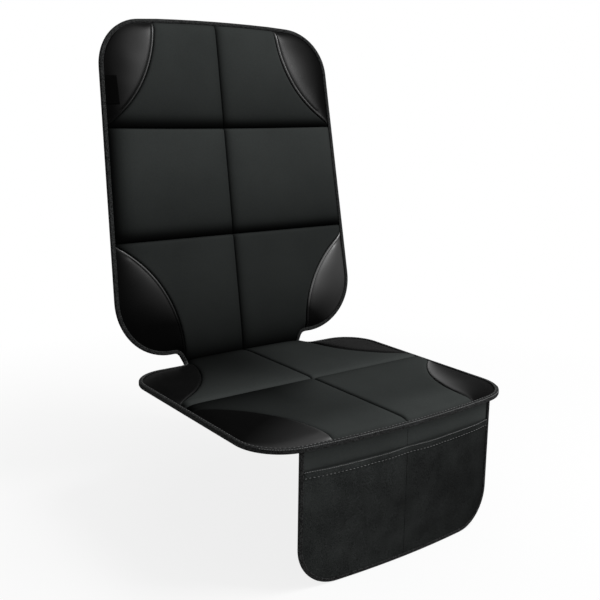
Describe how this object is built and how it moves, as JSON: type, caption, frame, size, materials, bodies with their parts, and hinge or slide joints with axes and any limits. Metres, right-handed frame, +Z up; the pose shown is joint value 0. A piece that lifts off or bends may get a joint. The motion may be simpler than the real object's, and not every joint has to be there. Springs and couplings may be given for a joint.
{
  "type": "car seat protector mat",
  "caption": "Quilted mat that covers a car seat's back and cushion, with leatherette corners, taped edges and a hanging flap with storage pockets.",
  "frame": {"origin": "on the flat underside of the seat panel, below the crossing of the seat's seams", "axes": "+X to the right as seen by a viewer in front, -Y to the front where the flap hangs, +Z up"},
  "size_m": [0.4858, 0.5481, 0.7844],
  "materials": {
    "cloth": "matt black woven polyester, quilted",
    "leatherette": "black leatherette, soft sheen, fine grain",
    "tape": "black woven binding tape",
    "lining": "dark non-slip backing cloth",
    "pocket": "black open-weave pocket cloth",
    "label": "plain black woven tab"
  },
  "bodies": {
    "root": {"back_binding": "tape", "back_lining": "lining", "back_pad": "cloth", "back_patch_lower_left": "leatherette", "back_patch_lower_right": "leatherette", "back_patch_upper_left": "leatherette", "back_patch_upper_right": "leatherette", "flap_binding": "tape", "flap_sheet": "cloth", "label_tab": "label", "pocket_hem": "tape", "pocket_panel": "pocket", "seat_binding": "tape", "seat_lining": "lining", "seat_pad": "cloth", "seat_patch_front_left": "leatherette", "seat_patch_front_right": "leatherette", "seat_patch_rear_left": "leatherette", "seat_patch_rear_right": "leatherette"}
  },
  "joints": []
}
